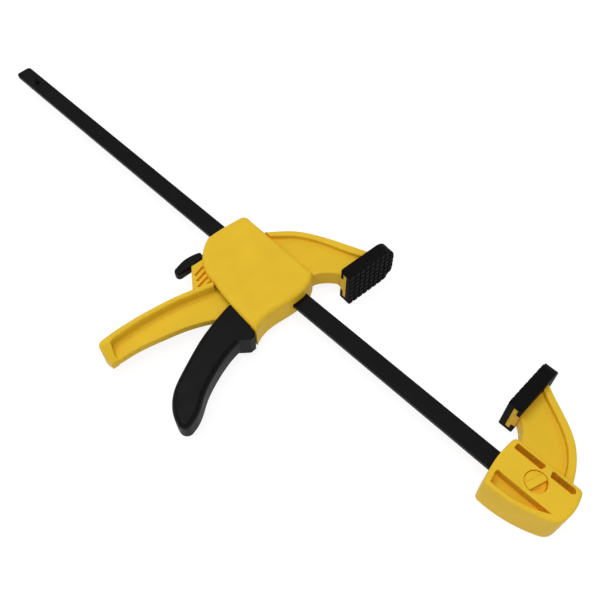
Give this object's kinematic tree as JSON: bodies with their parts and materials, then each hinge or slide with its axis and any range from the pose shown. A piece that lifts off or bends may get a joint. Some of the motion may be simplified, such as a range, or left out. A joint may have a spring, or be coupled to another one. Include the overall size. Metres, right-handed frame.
{
  "type": "quick release bar clamp",
  "caption": "One-handed bar clamp with a jaw fixed to a flat bar, a sliding jaw driven by a squeeze trigger, a release tab and soft jaw pads",
  "frame": {"origin": "bottom centre of the clamp's box, lying on its broad side", "axes": "+X along the bar to the fixed jaw, +Y from the handle to the jaw tips, +Z out of the upper broad side"},
  "size_m": [0.6385, 0.2226, 0.038],
  "materials": {
    "yellow_moulding": "fine moulded texture, satin",
    "black_moulding": "moulded, soft satin",
    "black_rubber": "matt rubber with a square grip pattern",
    "blackened_bar": "blackened steel, dull",
    "pin_steel": "ground pin",
    "screw_steel": "plated screw",
    "plate_steel": "hardened plate, stamped",
    "spring_steel": "drawn wire"
  },
  "bodies": {
    "frame": {"bar": "blackened_bar", "bar_stop_pin": "pin_steel", "fixed_jaw": "yellow_moulding", "fixed_jaw_pad": "black_rubber"},
    "jaw_lock": {"jaw_lock_knob": "yellow_moulding", "jaw_lock_pin": "pin_steel", "jaw_lock_ring": "spring_steel"},
    "carriage": {"housing": "yellow_moulding", "front_cover": "yellow_moulding", "back_cover": "yellow_moulding", "cover_screws": "screw_steel", "moving_jaw_pad": "black_rubber", "trigger_pivot_pin": "pin_steel", "drive_spring": "spring_steel", "release_spring": "spring_steel"},
    "trigger": {"trigger": "black_moulding"},
    "drive": {"drive_plate_1": "plate_steel", "drive_plate_2": "plate_steel", "drive_plate_3": "plate_steel", "spring_washer": "plate_steel"},
    "release": {"release_plate": "plate_steel", "release_cap": "black_moulding"}
  },
  "joints": [
    {"name": "carriage_slide", "type": "slide", "parent": "frame", "child": "carriage", "axis": [1, 0, 0], "range_m": [-0.27115, 0.1443]},
    {"name": "trigger_pivot", "type": "hinge", "parent": "carriage", "child": "trigger", "pos_m": [0.06, 0.04015, 0.019], "axis": [0, 0, -1], "range_deg": [0, 18], "stiffness_Nm_per_rad": 0.6, "springref_deg": -5.73},
    {"name": "drive_slide", "type": "slide", "parent": "carriage", "child": "drive", "axis": [-1, 0, 0], "range_m": [0, 0.0079], "deforming": ["drive_spring"]},
    {"name": "release_pivot", "type": "hinge", "parent": "carriage", "child": "release", "pos_m": [-0.009, 0.04265, 0.019], "axis": [0, 0, 1], "range_deg": [0, 6], "stiffness_Nm_per_rad": 0.3, "springref_deg": -5.73, "deforming": ["release_spring"]},
    {"name": "jaw_lock_turn", "type": "hinge", "parent": "frame", "child": "jaw_lock", "pos_m": [0.29025, 0.02915, 0.019], "axis": [0, 0, 1], "range_deg": [0, 90]}
  ],
  "couplings": [
    {"joint": "drive_slide", "follows": "trigger_pivot", "m_per_rad": 0.0248}
  ]
}
